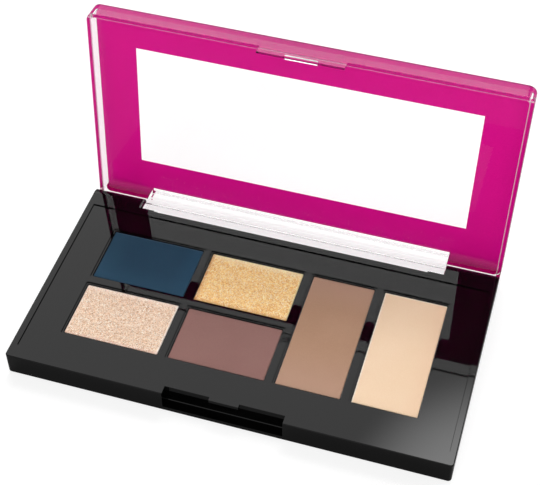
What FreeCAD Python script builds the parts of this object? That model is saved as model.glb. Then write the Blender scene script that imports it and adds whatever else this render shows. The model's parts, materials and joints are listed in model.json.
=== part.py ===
import FreeCAD, Part
import os

doc = FreeCAD.newDocument("eyeshadow_palette")
dims = doc.addObject("Spreadsheet::Sheet", "dims")

SIZES = [
    ("width", 120.0),
    ("depth", 64.5),
    ("base_height", 7.3),
    ("base_floor", 1.5),
    ("corner_radius", 0.9),
    ("edge_radius", 0.25),
    ("foot_radius", 0.7),
    ("side_rim", 1.75),
    ("front_rim", 4.15),
    ("rear_rim", 6.2),
    ("tray_gap", 0.1),
    ("tray_drop", 0.35),
    ("tray_plate", 1.4),
    ("cup_wall", 0.8),
    ("cup_floor", 1.0),
    ("well_wide", 26.84),
    ("well_slim", 17.74),
    ("well_short", 17.89),
    ("well_rib_x", 2.61),
    ("well_rib_y", 2.91),
    ("well_front_margin", 11.93),
    ("well_corner", 0.5),
    ("ledge_width", 0.48),
    ("ledge_depth", 0.3),
    ("glue_thickness", 0.2),
    ("glue_radius", 5.0),
    ("pan_gap", 0.06),
    ("pan_wall", 0.16),
    ("pan_floor", 0.3),
    ("powder_drop", 0.45),
    ("powder_proud", 0.35),
    ("powder_edge", 0.22),
    ("recess_width", 32.4),
    ("recess_depth", 2.6),
    ("recess_floor", 1.8),
    ("recess_root", 0.3),
    ("catch_width", 8.0),
    ("catch_reach", 1.0),
    ("catch_thickness", 1.0),
    ("slot_front", 0.35),
    ("slot_depth", 1.2),
    ("slot_sink", 1.1),
    ("hinge_back", 1.75),
    ("hinge_drop", 3.75),
    ("ear_drop", 0.1),
    ("hinge_end_gap", 0.3),
    ("leaf_width", 89.6),
    ("notch_gap", 0.7),
    ("notch_floor_gap", 0.6),
    ("notch_pad_length", 4.6),
    ("notch_pad_reach", 0.4),
    ("pin_radius", 0.6),
    ("pin_gap", 0.05),
    ("pin_insert", 4.0),
    ("pin_inset", 0.4),
    ("lid_gap", 0.2),
    ("lid_height", 5.2),
    ("lid_panel", 1.3),
    ("lid_wall", 1.2),
    ("lid_corner", 2.2),
    ("lid_edge", 0.15),
    ("lid_rim_edge", 0.15),
    ("leaf_upper_depth", 3.8),
    ("leaf_groove_place", 2.0),
    ("leaf_groove_width", 0.14),
    ("leaf_groove_depth", 0.3),
    ("tongue_width", 23.6),
    ("tongue_length", 2.6),
    ("tongue_thickness", 0.6),
    ("bead_width", 8.8),
    ("bead_reach", 0.7),
    ("bead_height", 0.8),
    ("bead_offset", 0.6),
    ("print_thickness", 0.06),
    ("print_gap", 0.02),
    ("print_inset", 0.1),
    ("window_width", 96.4),
    ("window_depth", 39.0),
    ("window_front_margin", 11.8),
    ("rear_print_top", 0.1),
    ("rear_print_depth", 1.7),
    ("open_angle", 95.4),
]
for row, (alias, value) in enumerate(SIZES, start=1):
    dims.set("A%d" % row, alias)
    dims.set("B%d" % row, str(value))
    dims.setAlias("B%d" % row, alias)
doc.recompute()

HINGE_Y = "(dims.depth / 2 - dims.hinge_back)"
HINGE_Z = "(dims.base_height - dims.hinge_drop)"
TRAY_TOP = "(dims.base_height - dims.tray_drop)"
CUP_TOP = "(dims.base_floor + dims.cup_floor)"
PAN_BOTTOM = "(" + CUP_TOP + " + dims.glue_thickness)"
POWDER_TOP = "(" + TRAY_TOP + " - dims.powder_drop)"
NOTCH_DEPTH = "(2 * dims.hinge_back + dims.notch_gap)"
NOTCH_HALF = "(dims.leaf_width / 2 + dims.hinge_end_gap)"
CUT = "1"

bodies = []


def new_body(label):
    body = doc.addObject("PartDesign::Body", label)
    body.Label = label
    bodies.append(body)
    return body


def add_feature(body, kind, name, corner, sizes, turn=None):
    feature = body.newObject("PartDesign::" + kind, name)
    if turn:
        feature.Placement = FreeCAD.Placement(FreeCAD.Vector(), turn)
    for axis, expression in zip("xyz", corner):
        feature.setExpression("Placement.Base." + axis, expression)
    for prop, expression in sizes.items():
        feature.setExpression(prop, expression)
    doc.recompute()
    return feature


def add_box(body, name, corner, size, cut=False, tilt=0):
    kind = "SubtractiveBox" if cut else "AdditiveBox"
    sizes = dict(zip(("Length", "Width", "Height"), size))
    turn = FreeCAD.Rotation(FreeCAD.Vector(1, 0, 0), tilt) if tilt else None
    return add_feature(body, kind, name, corner, sizes, turn)


def add_rod(body, name, start, radius, length, along_x=True, cut=False):
    kind = "SubtractiveCylinder" if cut else "AdditiveCylinder"
    turn = FreeCAD.Rotation(FreeCAD.Vector(0, 1, 0), 90) if along_x else None
    return add_feature(body, kind, name, start, {"Radius": radius, "Height": length}, turn)


def add_fillet(body, name, radius, wanted):
    base = body.Tip
    edges = base.Shape.Edges
    names = ["Edge%d" % (i + 1) for i, edge in enumerate(edges) if wanted(edge)]
    feature = body.newObject("PartDesign::Fillet", name)
    feature.Base = (base, names)
    feature.setExpression("Radius", radius)
    doc.recompute()
    return feature


def is_upright(edge):
    box = edge.BoundBox
    return box.ZLength > 0.1 and box.XLength < 0.001 and box.YLength < 0.001


def lies_at(edge, height):
    box = edge.BoundBox
    return box.ZLength < 0.001 and abs(box.ZMin - height) < 0.001


def open_with_lid(body):
    turn = FreeCAD.Rotation(FreeCAD.Vector(-1, 0, 0), 90)
    body.Placement = FreeCAD.Placement(FreeCAD.Vector(), turn)
    body.setExpression("Placement.Base.y", HINGE_Y)
    body.setExpression("Placement.Base.z", HINGE_Z)
    body.setExpression("Placement.Rotation.Angle", "dims.open_angle")
    doc.recompute()


# Base shell: rounded tray with hinge notch, ears, finger recess and catch tab.
shell = new_body("base_shell")
add_box(shell, "shell_block",
        ("-dims.width / 2", "-dims.depth / 2", "0"),
        ("dims.width", "dims.depth", "dims.base_height"))
shell_top = shell.Shape.BoundBox.ZMax
add_fillet(shell, "shell_corners", "dims.corner_radius", is_upright)
add_fillet(shell, "shell_foot", "dims.foot_radius", lambda e: lies_at(e, 0))
add_fillet(shell, "shell_rim_edge", "dims.edge_radius", lambda e: lies_at(e, shell_top))
add_box(shell, "ear_relief",
        ("-dims.width / 2 - " + CUT, HINGE_Y, HINGE_Z),
        ("dims.width + 2 * " + CUT, "dims.hinge_back + " + CUT, "dims.hinge_drop + " + CUT), cut=True)
for side, start in (("left", "-dims.width / 2"), ("right", NOTCH_HALF)):
    add_rod(shell, "ear_barrel_" + side, (start, HINGE_Y, HINGE_Z), "dims.hinge_drop - dims.ear_drop",
            "dims.width / 2 - " + NOTCH_HALF)
add_box(shell, "ear_sole",
        ("-dims.width / 2 - " + CUT, HINGE_Y + " - dims.hinge_drop", "-" + CUT),
        ("dims.width + 2 * " + CUT, "2 * dims.hinge_drop", CUT), cut=True)
add_box(shell, "shell_cavity",
        ("-dims.width / 2 + dims.side_rim", "-dims.depth / 2 + dims.front_rim", "dims.base_floor"),
        ("dims.width - 2 * dims.side_rim",
         "dims.depth - dims.front_rim - dims.rear_rim",
         "dims.base_height - dims.base_floor + " + CUT), cut=True)
add_box(shell, "hinge_notch",
        ("-" + NOTCH_HALF, "dims.depth / 2 - " + NOTCH_DEPTH,
         HINGE_Z + " - dims.hinge_back - dims.notch_floor_gap"),
        ("2 * " + NOTCH_HALF, NOTCH_DEPTH + " + " + CUT, "dims.base_height"), cut=True)
for side, start in (("left", "-" + NOTCH_HALF), ("right", NOTCH_HALF + " - dims.notch_pad_length")):
    add_box(shell, "notch_pad_" + side,
            (start, "dims.depth / 2 - " + NOTCH_DEPTH, HINGE_Z),
            ("dims.notch_pad_length", "dims.notch_pad_reach", "dims.hinge_drop"))
add_box(shell, "finger_recess",
        ("-dims.recess_width / 2", "-dims.depth / 2 - " + CUT, "dims.recess_floor"),
        ("dims.recess_width", "dims.recess_depth + " + CUT, "dims.base_height"), cut=True)
recess_back = -dims.depth / 2 + dims.recess_depth
add_fillet(shell, "recess_root_round", "dims.recess_root",
           lambda e: lies_at(e, dims.recess_floor) and e.BoundBox.YLength < 0.001
           and abs(e.BoundBox.YMin - recess_back) < 0.001)
add_box(shell, "catch_slot",
        ("-dims.catch_width / 2", "-dims.depth / 2 + dims.slot_front", "dims.recess_floor - dims.slot_sink"),
        ("dims.catch_width", "dims.slot_depth", "dims.slot_sink + " + CUT), cut=True)
add_box(shell, "catch_tab",
        ("-dims.catch_width / 2", "-dims.depth / 2 + dims.recess_depth - dims.catch_reach",
         "dims.base_height - dims.catch_thickness"),
        ("dims.catch_width", "dims.catch_reach", "dims.catch_thickness"))
for side, start in (("left", "-dims.width / 2 - " + CUT), ("right", NOTCH_HALF + " - " + CUT)):
    add_rod(shell, "pin_hole_" + side, (start, HINGE_Y, HINGE_Z), "dims.pin_radius",
            "dims.width / 2 - " + NOTCH_HALF + " + 2 * " + CUT, cut=True)

# Insert tray: recessed plate with six cups that stand on the shell's floor.
COLUMNS = [
    "-(dims.well_wide + dims.well_slim + 1.5 * dims.well_rib_x)",
    "-(dims.well_slim + 0.5 * dims.well_rib_x)",
    "(dims.well_wide - dims.well_slim + 0.5 * dims.well_rib_x)",
    "(dims.well_wide + 1.5 * dims.well_rib_x)",
]
FRONT_ROW = "(-dims.depth / 2 + dims.well_front_margin)"
REAR_ROW = "(" + FRONT_ROW + " + dims.well_short + dims.well_rib_y)"
WELL_TALL = "(2 * dims.well_short + dims.well_rib_y)"
WELLS = [
    ("navy", COLUMNS[0], REAR_ROW, "dims.well_wide", "dims.well_short"),
    ("gold", COLUMNS[1], REAR_ROW, "dims.well_wide", "dims.well_short"),
    ("champagne", COLUMNS[0], FRONT_ROW, "dims.well_wide", "dims.well_short"),
    ("plum", COLUMNS[1], FRONT_ROW, "dims.well_wide", "dims.well_short"),
    ("taupe", COLUMNS[2], FRONT_ROW, "dims.well_slim", WELL_TALL),
    ("cream", COLUMNS[3], FRONT_ROW, "dims.well_slim", WELL_TALL),
]
tray = new_body("insert_tray")
add_box(tray, "tray_plate_block",
        ("-dims.width / 2 + dims.side_rim + dims.tray_gap",
         "-dims.depth / 2 + dims.front_rim + dims.tray_gap",
         TRAY_TOP + " - dims.tray_plate"),
        ("dims.width - 2 * (dims.side_rim + dims.tray_gap)",
         "dims.depth - dims.front_rim - dims.rear_rim - 2 * dims.tray_gap",
         "dims.tray_plate"))
for name, x, y, length, width in WELLS:
    add_box(tray, name + "_cup",
            (x + " - dims.cup_wall", y + " - dims.cup_wall", "dims.base_floor"),
            (length + " + 2 * dims.cup_wall", width + " + 2 * dims.cup_wall",
             TRAY_TOP + " - dims.base_floor"))
for name, x, y, length, width in WELLS:
    add_box(tray, name + "_well", (x, y, CUP_TOP),
            (length, width, TRAY_TOP + " - " + CUP_TOP + " + " + CUT), cut=True)
    add_box(tray, name + "_ledge",
            (x + " - dims.ledge_width", y + " - dims.ledge_width", TRAY_TOP + " - dims.ledge_depth"),
            (length + " + 2 * dims.ledge_width", width + " + 2 * dims.ledge_width",
             "dims.ledge_depth + " + CUT), cut=True)
cup_top = dims.base_floor + dims.cup_floor
ledge_top = tray.Shape.BoundBox.ZMax - dims.ledge_depth
add_fillet(tray, "well_corners", "dims.well_corner",
           lambda e: is_upright(e) and (abs(e.BoundBox.ZMin - cup_top) < 0.001
                                        or abs(e.BoundBox.ZMin - ledge_top) < 0.001))

# Pans, glue pads and powder cakes, one of each per well.
for name, x, y, length, width in WELLS:
    glue = new_body(name + "_glue")
    add_rod(glue, name + "_glue_pad", (x + " + " + length + " / 2", y + " + " + width + " / 2", CUP_TOP),
            "dims.glue_radius", "dims.glue_thickness", along_x=False)

    pan = new_body(name + "_pan")
    add_box(pan, name + "_pan_block",
            (x + " + dims.pan_gap", y + " + dims.pan_gap", PAN_BOTTOM),
            (length + " - 2 * dims.pan_gap", width + " - 2 * dims.pan_gap",
             POWDER_TOP + " - dims.powder_proud - " + PAN_BOTTOM))
    add_fillet(pan, name + "_pan_corners", "dims.well_corner - dims.pan_gap", is_upright)
    pan_low = pan.Shape.BoundBox.ZMin
    inset = "dims.pan_gap + dims.pan_wall"
    add_box(pan, name + "_pan_pocket",
            (x + " + " + inset, y + " + " + inset, PAN_BOTTOM + " + dims.pan_floor"),
            (length + " - 2 * (" + inset + ")", width + " - 2 * (" + inset + ")", "dims.base_height"),
            cut=True)
    inner_corner = "dims.well_corner / 2"
    add_fillet(pan, name + "_pan_inner_corners", inner_corner,
               lambda e: is_upright(e) and e.BoundBox.ZMin > pan_low + 0.001)

    powder = new_body(name + "_powder")
    add_box(powder, name + "_cake",
            (x + " + " + inset, y + " + " + inset, PAN_BOTTOM + " + dims.pan_floor"),
            (length + " - 2 * (" + inset + ")", width + " - 2 * (" + inset + ")",
             POWDER_TOP + " - " + PAN_BOTTOM + " - dims.pan_floor"))
    add_fillet(powder, name + "_cake_corners", inner_corner, is_upright)
    cake_top = powder.Shape.BoundBox.ZMax
    add_fillet(powder, name + "_cake_edge", "dims.powder_edge", lambda e: lies_at(e, cake_top))

# Hinge pins: fixed in the ears, running in the ends of the lid's hinge leaf.
PIN_REACH = "(dims.leaf_width / 2 - dims.pin_insert)"
PIN_LENGTH = "(dims.width / 2 - dims.pin_inset - " + PIN_REACH + ")"
for side, start in (("left", "-dims.width / 2 + dims.pin_inset"), ("right", PIN_REACH)):
    pin = new_body("hinge_pin_" + side)
    add_rod(pin, "pin_" + side, (start, HINGE_Y, HINGE_Z), "dims.pin_radius", PIN_LENGTH)

# Lid shell, drawn closed about the hinge axis and then swung open.
LID_FRONT = "(dims.hinge_back - dims.depth)"
LID_RIM = "(dims.hinge_drop + dims.lid_gap)"
LID_TOP = "(" + LID_RIM + " + dims.lid_height)"
lid = new_body("lid_shell")
add_box(lid, "lid_block", ("-dims.width / 2", LID_FRONT, LID_RIM),
        ("dims.width", "dims.depth", "dims.lid_height"))
add_fillet(lid, "lid_corners", "dims.lid_corner", is_upright)
lid_top = lid.Shape.BoundBox.ZMax
lid_rim = lid.Shape.BoundBox.ZMin
add_fillet(lid, "lid_outer_edge", "dims.lid_edge", lambda e: lies_at(e, lid_top))
add_box(lid, "lid_cavity",
        ("-dims.width / 2 + dims.lid_wall", LID_FRONT + " + dims.lid_wall", LID_RIM + " - " + CUT),
        ("dims.width - 2 * dims.lid_wall", "dims.depth - 2 * dims.lid_wall",
         "dims.lid_height - dims.lid_panel + " + CUT), cut=True)
lid_inside = lid_top - dims.lid_panel
add_fillet(lid, "lid_inner_corners", "dims.lid_corner - dims.lid_wall",
           lambda e: is_upright(e) and abs(e.BoundBox.ZMin - lid_rim) < 0.001
           and abs(e.BoundBox.ZMax - lid_inside) < 0.001)
add_fillet(lid, "lid_rim_edges", "dims.lid_rim_edge", lambda e: lies_at(e, lid_rim))
add_box(lid, "leaf_upper",
        ("-dims.leaf_width / 2", "dims.hinge_back - dims.leaf_upper_depth", LID_RIM),
        ("dims.leaf_width", "dims.leaf_upper_depth - dims.lid_wall / 2",
         "dims.lid_height - dims.lid_panel / 2"))
add_box(lid, "leaf_lower", ("-dims.leaf_width / 2", "-dims.hinge_back", "0"),
        ("dims.leaf_width", "2 * dims.hinge_back", LID_RIM + " + dims.lid_wall"))
add_rod(lid, "leaf_barrel", ("-dims.leaf_width / 2", "0", "0"), "dims.hinge_back", "dims.leaf_width")
add_box(lid, "leaf_groove",
        ("-dims.leaf_width / 2 - " + CUT, "-dims.hinge_back - " + CUT, "dims.leaf_groove_place"),
        ("dims.leaf_width + 2 * " + CUT, "dims.leaf_groove_depth + " + CUT, "dims.leaf_groove_width"),
        cut=True)
add_box(lid, "latch_tongue",
        ("-dims.tongue_width / 2", LID_FRONT, LID_RIM + " - dims.tongue_length"),
        ("dims.tongue_width", "dims.tongue_thickness", "dims.tongue_length + dims.lid_wall"))
add_box(lid, "latch_bead",
        ("-dims.bead_width / 2", LID_FRONT + " + dims.tongue_thickness / 2",
         LID_RIM + " - dims.tongue_length + dims.bead_offset"),
        ("dims.bead_width", "dims.tongue_thickness / 2 + dims.bead_reach", "dims.bead_height"))
for side, start in (("left", "-dims.leaf_width / 2 - " + CUT),
                    ("right", "dims.leaf_width / 2 - dims.pin_insert - dims.hinge_end_gap")):
    add_rod(lid, "pin_bore_" + side, (start, "0", "0"), "dims.pin_radius + dims.pin_gap",
            "dims.pin_insert + dims.hinge_end_gap + " + CUT, cut=True)
open_with_lid(lid)

# Lid print: thin colour layer on the lid's outer face with a clear window.
layer = new_body("lid_print")
add_box(layer, "print_sheet",
        ("-dims.width / 2 + dims.print_inset", LID_FRONT + " + dims.print_inset",
         LID_TOP + " + dims.print_gap"),
        ("dims.width - 2 * dims.print_inset", "dims.depth - 2 * dims.print_inset", "dims.print_thickness"))
add_fillet(layer, "print_corners", "dims.lid_corner - dims.print_inset",
           lambda e: e.BoundBox.ZLength > 0.01 and e.BoundBox.XLength < 0.001 and e.BoundBox.YLength < 0.001)
add_box(layer, "print_window",
        ("-dims.window_width / 2", LID_FRONT + " + dims.window_front_margin", LID_TOP + " - " + CUT),
        ("dims.window_width", "dims.window_depth", "dims.print_thickness + 2 * " + CUT), cut=True)
add_box(layer, "print_leaf_gap",
        ("-dims.leaf_width / 2", "dims.hinge_back - dims.leaf_upper_depth", LID_TOP + " - " + CUT),
        ("dims.leaf_width", "dims.leaf_upper_depth", "dims.print_thickness + 2 * " + CUT), cut=True)
open_with_lid(layer)

# Rear prints: the same colour on the lid's rear wall beside the hinge leaf, bent round the corners.
CORNER_X = "(dims.width / 2 - dims.lid_corner)"
CORNER_Y = "(dims.hinge_back - dims.lid_corner)"
BEND_INSIDE = "(dims.lid_corner + dims.print_gap)"
REAR_PRINT_LOW = "(" + LID_TOP + " - dims.rear_print_top - dims.rear_print_depth)"
for side, start, corner, quarter in (("left", "-" + CORNER_X, "-" + CORNER_X, 90),
                                     ("right", "dims.leaf_width / 2", CORNER_X, 0)):
    strip = new_body("rear_print_" + side)
    add_feature(strip, "AdditiveCylinder", "rear_bend_" + side, (corner, CORNER_Y, REAR_PRINT_LOW),
                {"Radius": BEND_INSIDE + " + dims.print_thickness", "Height": "dims.rear_print_depth",
                 "Angle": "90"}, FreeCAD.Rotation(FreeCAD.Vector(0, 0, 1), quarter))
    add_rod(strip, "rear_bend_inside_" + side, (corner, CORNER_Y, REAR_PRINT_LOW + " - " + CUT),
            BEND_INSIDE, "dims.rear_print_depth + 2 * " + CUT, along_x=False, cut=True)
    add_box(strip, "rear_strip_" + side, (start, "dims.hinge_back + dims.print_gap", REAR_PRINT_LOW),
            (CORNER_X + " - dims.leaf_width / 2", "dims.print_thickness", "dims.rear_print_depth"))
    open_with_lid(strip)

doc.recompute()
for item in doc.Objects:
    if "Invalid" in item.State or "Error" in item.State:
        raise RuntimeError("not built: " + item.Name)

os.makedirs("parts", exist_ok=True)
for body in bodies:
    shape = body.Shape
    if shape.isNull() or not shape.isValid() or len(shape.Solids) != 1:
        raise RuntimeError("bad shape: " + body.Label)
    shape.exportStep("parts/" + body.Label + ".step")
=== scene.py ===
import json
import math

import bpy
from mathutils import Matrix, Vector


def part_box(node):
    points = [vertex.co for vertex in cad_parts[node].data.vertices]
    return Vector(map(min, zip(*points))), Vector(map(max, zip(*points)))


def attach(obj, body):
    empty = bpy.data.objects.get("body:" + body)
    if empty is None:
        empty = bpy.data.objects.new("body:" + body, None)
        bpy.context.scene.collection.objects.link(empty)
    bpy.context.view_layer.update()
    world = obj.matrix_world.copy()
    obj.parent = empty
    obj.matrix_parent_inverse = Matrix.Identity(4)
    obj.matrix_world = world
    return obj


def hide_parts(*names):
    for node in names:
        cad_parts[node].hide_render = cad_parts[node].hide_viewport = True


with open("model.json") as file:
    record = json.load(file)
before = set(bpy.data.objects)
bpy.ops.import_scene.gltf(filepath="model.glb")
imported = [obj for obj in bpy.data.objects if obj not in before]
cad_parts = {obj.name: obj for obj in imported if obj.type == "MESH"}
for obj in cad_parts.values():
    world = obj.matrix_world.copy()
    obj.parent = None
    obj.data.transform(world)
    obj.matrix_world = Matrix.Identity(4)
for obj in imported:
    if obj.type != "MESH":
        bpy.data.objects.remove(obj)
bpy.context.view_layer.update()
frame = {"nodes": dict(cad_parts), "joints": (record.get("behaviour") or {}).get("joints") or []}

# Camera, with the photograph's perspective.
IMAGE_WIDTH = 540
FOCAL_PIXELS = 1304.8
SENSOR_WIDTH = 36.0
CLIP_START = 0.01
CAMERA_PLACE = (0.067672, -0.212905, 0.280491)
CAMERA_AZIMUTH = math.radians(16.827)
CAMERA_ELEVATION = math.radians(47.566)
CAMERA_ROLL = math.radians(-0.086)

# Places on the lid in metres from the hinge line, while the lid is shut.
HINGE = frame["joints"][0]
OPEN_ANGLE = math.radians(HINGE["range_deg"][1])
LID_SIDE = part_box("lid_shell")[1].x
LID_FRONT = -0.06275
LID_RIM = 0.00395
LID_TOP = 0.00915
LID_WALL = 0.0012
GROOVE_Y = -0.00175
GROOVE_Z = 0.00207

# Widths of the painted lines on the clear plastic: shade at the slot by the hinge and along the outer top
# edge, highlight at the walls' open end.
GROOVE_SHADE_REACH = 0.0012
GROOVE_SHADE_FADE = 0.00036
EDGE_SHADE_LINE = 0.00024
EDGE_SHADE_FADE = 0.0004
RIM_HIGHLIGHT_FADE = 0.00035

# Printed layers, and how deep their ink lies in the clear skin.
PRINTS = ("lid_print", "rear_print_left", "rear_print_right")
INK_SINK = 0.00011

# Floor: half its side, its drop below the base, and its glow straight on and in reflections.
FLOOR_HALF = 3.0
FLOOR_DROP = 0.00002
FLOOR_GLOW = 0.76
FLOOR_GLOW_MIRRORED = 0.10

# Soft lights: direction, outer and inner angle in degrees, level outside and level inside.
SOFTBOXES = (
    ((-0.19, 0.60, 0.775), 21.0, 14.0, 0.30, 3.6),
    ((-0.19, 0.84, 0.49), 17.0, 11.0, 0.0, 1.6),
    ((0.017, 0.515, 0.857), 7.3, 2.5, 0.0, 12.3),
    ((0.10, -0.90, 0.43), 40.0, 26.0, 0.0, 2.0),
    ((0.72, 0.60, 0.35), 26.0, 16.0, 0.0, 2.3),
)

# The span in which most of a noise's values lie.
NOISE_LOW = 0.3
NOISE_HIGH = 0.7

# Places of the colour sockets on a mix node.
MIX_FIRST = 6
MIX_SECOND = 7
MIX_RESULT = 2

WHITE = (1.0, 1.0, 1.0, 1.0)


def grey(level):
    return (level, level, level, 1.0)


def srgb(text):
    """A colour written in six hexadecimal digits, as linear light."""
    channels = [int(text[i:i + 2], 16) / 255 for i in (0, 2, 4)]
    linear = [c / 12.92 if c <= 0.04045 else ((c + 0.055) / 1.055) ** 2.4 for c in channels]
    return (*linear, 1.0)


class Nodes:
    """Small helper around one node tree, with its shader and its coordinates."""

    def __init__(self, owner, shader, coordinates):
        self.owner = owner
        self.owner.use_nodes = True
        self.tree = owner.node_tree
        self.shader = self.tree.nodes[shader]
        self.place = self.add("ShaderNodeTexCoord").outputs[coordinates]

    def add(self, kind, **inputs):
        node = self.tree.nodes.new(kind)
        for key, value in inputs.items():
            node.inputs[key.replace("_", " ")].default_value = value
        return node

    def link(self, source, target):
        self.tree.links.new(source, target)

    def set(self, **values):
        """Give the shader's own sockets constant values."""
        for key, value in values.items():
            self.shader.inputs[key.replace("_", " ")].default_value = value

    def feed(self, **sources):
        """Link other nodes to the shader's own sockets."""
        for key, source in sources.items():
            self.link(source, self.shader.inputs[key.replace("_", " ")])

    def stretched(self, scale):
        node = self.add("ShaderNodeMapping", Scale=scale)
        self.link(self.place, node.inputs["Vector"])
        return node.outputs["Vector"]

    def moved(self, location, rotation):
        """Coordinates in a frame that has the given place and rotation."""
        node = self.add("ShaderNodeMapping", Location=location, Rotation=rotation)
        node.vector_type = "TEXTURE"
        self.link(self.place, node.inputs["Vector"])
        return node.outputs["Vector"]

    def noise(self, scale, detail=2.0, roughness=0.5, vector=None):
        node = self.add("ShaderNodeTexNoise", Scale=scale, Detail=detail, Roughness=roughness)
        self.link(vector or self.place, node.inputs["Vector"])
        return node.outputs["Fac"]

    def cells(self, scale):
        node = self.add("ShaderNodeTexVoronoi", Scale=scale)
        self.link(self.place, node.inputs["Vector"])
        return node

    def ramp(self, source, stops):
        node = self.add("ShaderNodeValToRGB")
        elements = node.color_ramp.elements
        while len(elements) < len(stops):
            elements.new(0.5)
        for element, (position, colour) in zip(elements, stops):
            element.position = position
            element.color = colour
        self.link(source, node.inputs["Fac"])
        return node.outputs["Color"]

    def shades(self, noise, first, second):
        """Colours that drift from the first to the second with a noise."""
        return self.ramp(noise, [(NOISE_LOW, first), (NOISE_HIGH, second)])

    def remap(self, source, low, high, to_low, to_high, smooth=False):
        node = self.add("ShaderNodeMapRange")
        if smooth:
            node.interpolation_type = "SMOOTHSTEP"
        node.inputs["From Min"].default_value = low
        node.inputs["From Max"].default_value = high
        node.inputs["To Min"].default_value = to_low
        node.inputs["To Max"].default_value = to_high
        self.link(source, node.inputs["Value"])
        return node.outputs["Result"]

    def spread(self, noise, low, high):
        """Values that drift from low to high with a noise."""
        return self.remap(noise, NOISE_LOW, NOISE_HIGH, low, high)

    def scaled(self, source, amount):
        return self.remap(source, 0.0, 1.0, 0.0, amount)

    def mix(self, factor, first, second):
        node = self.add("ShaderNodeMix")
        node.data_type = "RGBA"
        sockets = (node.inputs["Factor"], node.inputs[MIX_FIRST], node.inputs[MIX_SECOND])
        for socket, value in zip(sockets, (factor, first, second)):
            if isinstance(value, (float, tuple)):
                socket.default_value = value
            else:
                self.link(value, socket)
        return node.outputs[MIX_RESULT]

    def combine(self, operation, first, *others):
        for other in others:
            node = self.add("ShaderNodeMath")
            node.operation = operation
            self.link(first, node.inputs[0])
            self.link(other, node.inputs[1])
            first = node.outputs["Value"]
        return first

    def near(self, axis, edge, reach):
        """One up to the given place along an axis, then falling to nothing over the reach."""
        split = self.add("ShaderNodeSeparateXYZ")
        self.link(self.place, split.inputs["Vector"])
        return self.remap(split.outputs[axis], edge, edge + reach, 1.0, 0.0, smooth=True)

    def line(self, axis, place, reach):
        """One at the given place along an axis, falling to nothing over the reach on both sides."""
        return self.combine("MULTIPLY", self.near(axis, place, reach), self.near(axis, place, -reach))

    def bump(self, height, strength, distance):
        node = self.add("ShaderNodeBump", Strength=strength, Distance=distance)
        self.link(height, node.inputs["Height"])
        self.feed(Normal=node.outputs["Normal"])


def new_material(name):
    return Nodes(bpy.data.materials.new(name), "Principled BSDF", "Object")


def black_gloss():
    n = new_material("black_gloss")
    black = n.ramp(n.noise(60.0, 4.0), [(0.35, grey(0.0007)), (0.65, (0.0015, 0.0014, 0.0014, 1.0))])
    n.feed(Base_Color=black, Roughness=n.spread(n.noise(900.0, 3.0), 0.02, 0.035))
    n.set(IOR=1.24)
    return n.owner


def clear_plastic():
    """Clear moulding, with painted shade lines at the slot by the hinge and along the outer top edge, and
    a painted highlight line along the inner faces of the walls at their open end.
    """
    n = new_material("clear_plastic")
    n.place = n.moved(HINGE["pos_m"], (-OPEN_ANGLE, 0, 0))
    clear = n.shades(n.noise(40.0), grey(0.985), WHITE)
    # Painted shade: a dark line along the slot by the hinge.
    groove_shade = n.combine("MULTIPLY", n.line("Y", GROOVE_Y, GROOVE_SHADE_REACH), n.line("Z", GROOVE_Z, GROOVE_SHADE_FADE))
    # Painted shade: a dark outline along the lid's outer top edge, at the sides and front.
    edge_shade_sides = n.combine("MAXIMUM",
                       n.near("X", LID_SIDE - EDGE_SHADE_LINE, -EDGE_SHADE_FADE),
                       n.near("X", EDGE_SHADE_LINE - LID_SIDE, EDGE_SHADE_FADE),
                       n.near("Y", LID_FRONT + EDGE_SHADE_LINE, EDGE_SHADE_FADE))
    edge = n.combine("MULTIPLY", edge_shade_sides, n.near("Z", LID_TOP - EDGE_SHADE_LINE, -EDGE_SHADE_FADE))
    # Painted highlight: a pale line along the inner faces of the side and front walls at their open end.
    inner = n.combine("MAXIMUM",
                      n.line("X", LID_SIDE - LID_WALL, RIM_HIGHLIGHT_FADE),
                      n.line("X", LID_WALL - LID_SIDE, RIM_HIGHLIGHT_FADE),
                      n.line("Y", LID_FRONT + LID_WALL, RIM_HIGHLIGHT_FADE))
    # Where this mask is one, the Transmission Weight below falls to 0.4, so the line shows as a painted
    # highlight.
    rim_highlight = n.combine("MULTIPLY", inner, n.line("Z", LID_RIM, RIM_HIGHLIGHT_FADE))
    # Painted shade: the slot line tints the clear plastic to grey 0.08.
    groove_shaded = n.mix(groove_shade, clear, grey(0.08))
    # Painted shade: the outer top edge line tints the clear plastic to grey 0.2.
    n.feed(Base_Color=n.mix(edge, groove_shaded, grey(0.2)),
           Roughness=n.spread(n.noise(700.0, 3.0), 0.0, 0.012),
           Transmission_Weight=n.remap(rim_highlight, 0.0, 1.0, 1.0, 0.4))
    n.set(IOR=1.27)
    return n.owner


def magenta_print():
    n = new_material("magenta_print")
    n.feed(Base_Color=n.shades(n.noise(2200.0), (0.82, 0.006, 0.31, 1.0), (0.86, 0.008, 0.33, 1.0)),
           Roughness=n.spread(n.noise(1500.0), 0.55, 0.65))
    n.set(Specular_IOR_Level=0.0)
    return n.owner


def painted_edge_light(n, node, ground, edge_light):
    """Paint highlight and shade colours in along the sides of a pressed cake: side, reach, colour and
    amount.
    """
    low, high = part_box(node)
    sides = {"left": ("X", low.x, 1), "right": ("X", high.x, -1),
             "front": ("Y", low.y, 1), "rear": ("Y", high.y, -1)}
    for side, reach, colour, amount in edge_light:
        axis, edge, inward = sides[side]
        # Painted light: a lighter colour here is a painted highlight, a darker one painted shade.
        edge_light_mask = n.near(axis, edge, inward * reach)
        ground = n.mix(n.scaled(edge_light_mask, amount), ground, srgb(colour))
    return ground


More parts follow.
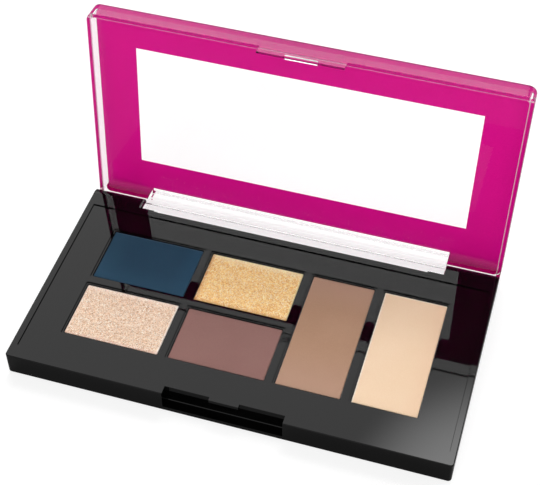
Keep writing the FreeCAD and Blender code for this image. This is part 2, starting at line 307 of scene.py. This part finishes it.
def matte_powder(name, colour, deep, pale, edge_light):
    n = new_material(name)
    grain = n.noise(5200.0, 3.0, 0.6)
    fine = n.ramp(grain, [(0.3, srgb(deep)), (0.5, srgb(colour)), (0.72, srgb(pale))])
    soft = n.shades(n.noise(90.0, 3.0), srgb(deep), srgb(pale))
    n.feed(Base_Color=painted_edge_light(n, name, n.mix(0.25, fine, soft), edge_light),
           Roughness=n.spread(grain, 0.75, 0.95))
    n.bump(grain, 0.25, 0.00006)
    n.set(IOR=1.25)
    return n.owner


def shimmer_powder(name, colour, deep, pale, warm, glint, edge_light):
    n = new_material(name)
    flakes = n.cells(6000.0)
    light = n.add("ShaderNodeSeparateColor")
    n.link(flakes.outputs["Color"], light.inputs["Color"])
    large = n.ramp(light.outputs["Red"], [(0.05, srgb(deep)), (0.45, srgb(colour)), (0.95, srgb(pale))])
    tinted = n.mix(n.remap(light.outputs["Green"], 0.55, 1.0, 0.0, 0.7), large, srgb(warm))
    small = n.ramp(n.cells(3600.0).outputs["Color"],
                   [(0.1, srgb(deep)), (0.5, srgb(colour)), (0.9, srgb(pale))])
    ground = painted_edge_light(n, name, n.mix(0.35, tinted, small), edge_light)
    # Painted glints: a few random flakes take the near-white glint colour.
    spark = n.remap(light.outputs["Blue"], 0.86, 0.94, 0.0, 0.8)
    n.feed(Base_Color=n.mix(spark, ground, srgb(glint)),
           Roughness=n.remap(flakes.outputs["Distance"], 0.0, 0.6, 0.35, 0.6))
    n.bump(flakes.outputs["Distance"], 0.3, 0.00005)
    n.set(Metallic=0.12)
    return n.owner


def pan_metal():
    n = new_material("pan_metal")
    n.feed(Base_Color=n.shades(n.noise(800.0), grey(0.012), grey(0.02)),
           Roughness=n.spread(n.noise(1200.0), 0.35, 0.5))
    return n.owner


def glue():
    n = new_material("glue")
    n.feed(Base_Color=n.shades(n.noise(400.0), srgb("cfc6ad"), srgb("ddd5c0")),
           Roughness=n.spread(n.noise(300.0), 0.4, 0.6))
    return n.owner


def pin_steel():
    n = new_material("pin_steel")
    drawn = n.noise(900.0, 3.0, 0.6, n.stretched((0.05, 4.0, 4.0)))
    n.feed(Base_Color=n.shades(drawn, srgb("b9babc"), srgb("d6d7d9")),
           Roughness=n.spread(drawn, 0.2, 0.35))
    n.set(Metallic=1.0)
    return n.owner


def powders():
    """The six pressed powders, by shade: colours first, then the painted highlights and shade along their
    sides.
    """
    return {
        "navy": matte_powder("navy_powder", "264358", "213c50", "2c4a61", [
            ("left", 0.008, "2b4a5f", 0.9), ("right", 0.006, "2a4b64", 0.8),
            ("front", 0.007, "2a4a60", 0.7), ("rear", 0.0005, "5d7488", 0.7)]),
        "plum": matte_powder("plum_powder", "926d67", "8a655f", "9a756e", [
            ("left", 0.0005, "86605a", 0.6), ("rear", 0.0005, "a07b74", 0.6)]),
        "taupe": matte_powder("taupe_powder", "b18c72", "a78269", "ba967d", [
            ("front", 0.016, "ba9681", 0.8), ("rear", 0.012, "b5917e", 0.7),
            ("left", 0.0004, "c4a28d", 0.6)]),
        "cream": matte_powder("cream_powder", "f5d7b5", "f0d0ad", "f9dfc2", [
            ("right", 0.006, "f2cfae", 0.6), ("left", 0.0006, "fff6e6", 0.9),
            ("rear", 0.0008, "fff2de", 0.8)]),
        "gold": shimmer_powder("gold_powder", "ffd07e", "c66a12", "fff4ba", "ffb448", "fffae0", [
            ("rear", 0.0026, "fff0c4", 0.65), ("right", 0.0008, "f7e3a6", 0.7),
            ("left", 0.0014, "c4813f", 0.75), ("front", 0.0016, "d99a50", 0.6)]),
        "champagne": shimmer_powder("champagne_powder", "ebc6a2", "966443", "fff3df", "efb388", "fffdf4", [
            ("rear", 0.0022, "fbeadd", 0.6), ("right", 0.0007, "fff4ec", 0.8),
            ("left", 0.0010, "f3dccb", 0.5), ("front", 0.0012, "e2b5a4", 0.6)]),
    }


def dress(material, *nodes):
    for node in nodes:
        slots = frame["nodes"][node].material_slots
        if slots:
            for slot in slots:
                slot.material = material
        else:
            frame["nodes"][node].data.materials.append(material)


def dress_all(magenta):
    dress(black_gloss(), "base_shell", "insert_tray")
    dress(clear_plastic(), "lid_shell")
    dress(magenta, *PRINTS)
    dress(pin_steel(), "hinge_pin_left", "hinge_pin_right")
    pan = pan_metal()
    pad = glue()
    for shade, powder in powders().items():
        dress(powder, shade + "_powder")
        dress(pan, shade + "_pan")
        dress(pad, shade + "_glue")


def show(name, data):
    thing = bpy.data.objects.new(name, data)
    bpy.context.scene.collection.objects.link(thing)
    return thing


def add_ink(magenta):
    """The colour layer bonded into the clear skin of the lid, so no air lies between ink and plastic."""
    panel_out = Vector((0, math.sin(OPEN_ANGLE), math.cos(OPEN_ANGLE)))
    rear_out = Vector((0, math.cos(OPEN_ANGLE), -math.sin(OPEN_ANGLE)))
    sink = Matrix.Translation(-(panel_out + rear_out) * INK_SINK)
    narrow = Matrix.Diagonal((1.0 - INK_SINK / LID_SIDE, 1.0, 1.0, 1.0))
    for print_node in PRINTS:
        mesh = frame["nodes"][print_node].data.copy()
        mesh.transform(sink @ narrow)
        mesh.materials.clear()
        mesh.materials.append(magenta)
        ink = show(print_node.replace("print", "ink"), mesh)
        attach(ink, "lid")
        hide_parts(print_node)


def add_floor():
    corners = [(-FLOOR_HALF, -FLOOR_HALF, 0), (FLOOR_HALF, -FLOOR_HALF, 0),
               (FLOOR_HALF, FLOOR_HALF, 0), (-FLOOR_HALF, FLOOR_HALF, 0)]
    mesh = bpy.data.meshes.new("floor")
    mesh.from_pydata(corners, [], [(0, 1, 2, 3)])
    floor = show("floor", mesh)
    floor.location.z = -FLOOR_DROP
    n = new_material("floor")
    rays = n.add("ShaderNodeLightPath").outputs
    glow = n.combine("MAXIMUM",
                     n.scaled(rays["Is Glossy Ray"], FLOOR_GLOW_MIRRORED),
                     n.scaled(rays["Is Camera Ray"], FLOOR_GLOW),
                     n.scaled(rays["Is Transmission Ray"], FLOOR_GLOW))
    n.feed(Base_Color=n.shades(n.noise(6.0), grey(0.31), grey(0.33)), Emission_Strength=glow)
    n.set(Roughness=0.9, Specular_IOR_Level=0.0, Emission_Color=WHITE)
    mesh.materials.append(n.owner)


def add_sky():
    """Soft lights as round patches of the sky."""
    world = bpy.data.worlds.new("studio")
    bpy.context.scene.world = world
    n = Nodes(world, "Background", "Generated")
    n.set(Color=WHITE)
    patches = []
    for axis, outer, inner, outside, inside in SOFTBOXES:
        toward = n.add("ShaderNodeVectorMath")
        toward.operation = "DOT_PRODUCT"
        toward.inputs[1].default_value = Vector(axis).normalized()
        n.link(n.place, toward.inputs[0])
        patches.append(n.remap(toward.outputs["Value"], math.cos(math.radians(outer)),
                               math.cos(math.radians(inner)), outside, inside, smooth=True))
    n.feed(Strength=n.combine("ADD", *patches))


def add_camera():
    data = bpy.data.cameras.new("camera")
    data.sensor_fit = "HORIZONTAL"
    data.sensor_width = SENSOR_WIDTH
    data.lens = FOCAL_PIXELS / IMAGE_WIDTH * SENSOR_WIDTH
    data.clip_start = CLIP_START
    camera = show("camera", data)
    back = Vector((math.sin(CAMERA_AZIMUTH) * math.cos(CAMERA_ELEVATION),
                   -math.cos(CAMERA_AZIMUTH) * math.cos(CAMERA_ELEVATION),
                   math.sin(CAMERA_ELEVATION)))
    right = (-back).cross(Vector((0, 0, 1))).normalized()
    up = right.cross(-back)
    turned_right = right * math.cos(CAMERA_ROLL) + up * math.sin(CAMERA_ROLL)
    turned_up = up * math.cos(CAMERA_ROLL) - right * math.sin(CAMERA_ROLL)
    rotation = Matrix((turned_right, turned_up, back)).transposed()
    camera.matrix_world = Matrix.Translation(CAMERA_PLACE) @ rotation.to_4x4()
    bpy.context.scene.camera = camera


ink_colour = magenta_print()
dress_all(ink_colour)
add_ink(ink_colour)
add_floor()
add_sky()
add_camera()
bpy.context.scene.view_settings.view_transform = "Standard"
